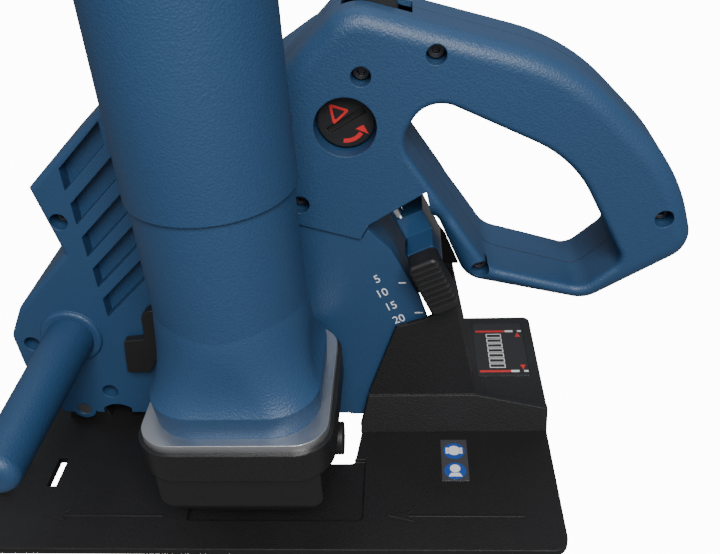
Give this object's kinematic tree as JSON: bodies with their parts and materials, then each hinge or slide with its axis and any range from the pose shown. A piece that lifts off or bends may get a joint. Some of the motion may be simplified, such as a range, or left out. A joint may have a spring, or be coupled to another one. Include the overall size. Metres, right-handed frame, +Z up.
{
  "type": "wall chaser",
  "caption": "Wall chaser with a vertical barrel motor, D-handle, front handle, disc guard, plunge base on rollers and a sliding groove-depth stop; cuts parallel grooves in masonry.",
  "frame": {"origin": "on the sole (the face of the base plate that slides on the wall), straight below the plunge pivot axis, midway between the two disc planes", "axes": "+X from the pivot towards the D-handle (rear), +Y along the spindle away from the motor, +Z up, square to the sole"},
  "size_m": [0.3584, 0.2015, 0.279],
  "materials": {
    "blue_plastic": "fine-grained satin, dark teal blue",
    "blue_gloss": "glossy dark blue",
    "black_plastic": "matt black, moulded",
    "black_textured": "black with a coarse moulded texture",
    "base_coating": "black textured powder coat",
    "case_coating": "satin black paint on a casting",
    "flange_alloy": "bright machined",
    "steel": "turned and ground",
    "zinc_steel": "zinc-plated sheet",
    "rod_chrome": "hard chrome",
    "copper": "enamelled copper winding",
    "lamination": "stacked electrical steel",
    "carbon": "carbon block",
    "brush_brass": "stamped brass",
    "gland_rubber": "black rubber",
    "label_print": null,
    "sticker_print": null,
    "potting": "potted circuit board"
  },
  "bodies": {
    "base": {"base_plate": "base_coating", "pivot_ears": "base_coating", "guide_tower": "black_textured", "rod_bracket": "black_plastic", "rod_cover": "black_plastic", "guide_rods": "rod_chrome", "return_spring": "steel", "groove_width_label": "label_print", "base_sticker": "sticker_print", "roller_axles": "steel", "roller_brackets": "zinc_steel"},
    "machine": {"handle_shell_near": "blue_plastic", "handle_shell_far": "blue_plastic", "guard_shell_near": "blue_plastic", "guard_shell_far": "blue_plastic", "disc_hood": "zinc_steel", "pivot_pin": "steel", "front_handle": "blue_plastic", "handle_stud": "steel", "housing_screws": "zinc_steel", "guard_screws": "zinc_steel", "switch_module": "black_plastic", "motor_housing": "blue_plastic", "motor_sleeve": "blue_plastic", "motor_flange": "flange_alloy", "gear_case": "case_coating", "flange_screws": "zinc_steel", "stator": "lamination", "field_coils": "copper", "armature_bearing_races": "steel", "armature_bearing_balls": "steel", "spindle_bearing_rear": "steel", "spindle_bearing_front": "steel", "bearing_retainer": "steel", "brush_holders": "brush_brass", "carbon_brushes": "carbon", "speed_electronics": "potting", "cable_gland": "gland_rubber"},
    "armature_assembly": {"armature": "lamination", "cooling_fan": "black_plastic", "commutator": "copper", "armature_bearing_inner_races": "steel", "pinion": "steel"},
    "spindle_assembly": {"spindle": "steel", "crown_wheel": "steel", "clamping_flange": "steel", "spacer_rings": "steel", "clamping_nut": "zinc_steel"},
    "lock_cap": {"coin_slot_cap": "black_plastic"},
    "switch_slider": {"power_switch_button": "black_plastic"},
    "latch": {"latch_lever": "black_plastic"},
    "spindle_lock": {"spindle_lock_button": "black_plastic"},
    "depth_stop": {"depth_carriage": "blue_gloss", "depth_knob": "black_plastic"},
    "roller_a": {"roller_front_near": "steel"},
    "roller_b": {"roller_front_far": "steel"},
    "roller_c": {"roller_rear_near": "steel"},
    "roller_d": {"roller_rear_far": "steel"}
  },
  "joints": [
    {"name": "plunge", "type": "hinge", "parent": "base", "child": "machine", "pos_m": [0, 0, 0.014], "axis": [0, -1, 0], "range_deg": [0, 21]},
    {"name": "armature_spin", "type": "hinge", "parent": "machine", "child": "armature_assembly", "pos_m": [0.107, -0.092, 0.13], "axis": [0, 0, 1], "continuous": true},
    {"name": "spindle_spin", "type": "hinge", "parent": "machine", "child": "spindle_assembly", "pos_m": [0.107, -0.03, 0.04], "axis": [0, 1, 0], "continuous": true},
    {"name": "lock_cap_turn", "type": "hinge", "parent": "machine", "child": "lock_cap", "pos_m": [0.1578, -0.038, 0.1796], "axis": [0, -1, 0], "range_deg": [0, 90]},
    {"name": "power_switch_slide", "type": "slide", "parent": "machine", "child": "switch_slider", "axis": [-1, 0, 0], "range_m": [0, 0.004], "stiffness_N_per_m": 400, "springref_m": -0.002},
    {"name": "latch_turn", "type": "hinge", "parent": "machine", "child": "latch", "pos_m": [0.054, -0.048, 0.08], "axis": [0, -1, 0], "range_deg": [0, 25]},
    {"name": "spindle_lock_press", "type": "slide", "parent": "machine", "child": "spindle_lock", "axis": [-1, 0, 0], "range_m": [0, 0.0022], "stiffness_N_per_m": 500, "springref_m": -0.002},
    {"name": "depth_stop_slide", "type": "slide", "parent": "base", "child": "depth_stop", "axis": [-0.4067, 0, 0.9135], "range_m": [0, 0.012]},
    {"name": "roller_a_spin", "type": "hinge", "parent": "base", "child": "roller_a", "pos_m": [-0.032, -0.083, 0.006], "axis": [0, 1, 0], "continuous": true},
    {"name": "roller_b_spin", "type": "hinge", "parent": "base", "child": "roller_b", "pos_m": [-0.032, 0.016, 0.006], "axis": [0, 1, 0], "continuous": true},
    {"name": "roller_c_spin", "type": "hinge", "parent": "base", "child": "roller_c", "pos_m": [0.238, -0.032, 0.006], "axis": [0, 1, 0], "continuous": true},
    {"name": "roller_d_spin", "type": "hinge", "parent": "base", "child": "roller_d", "pos_m": [0.238, 0.016, 0.006], "axis": [0, 1, 0], "continuous": true}
  ],
  "couplings": [
    {"joint": "spindle_spin", "follows": "armature_spin", "ratio": -0.3}
  ]
}
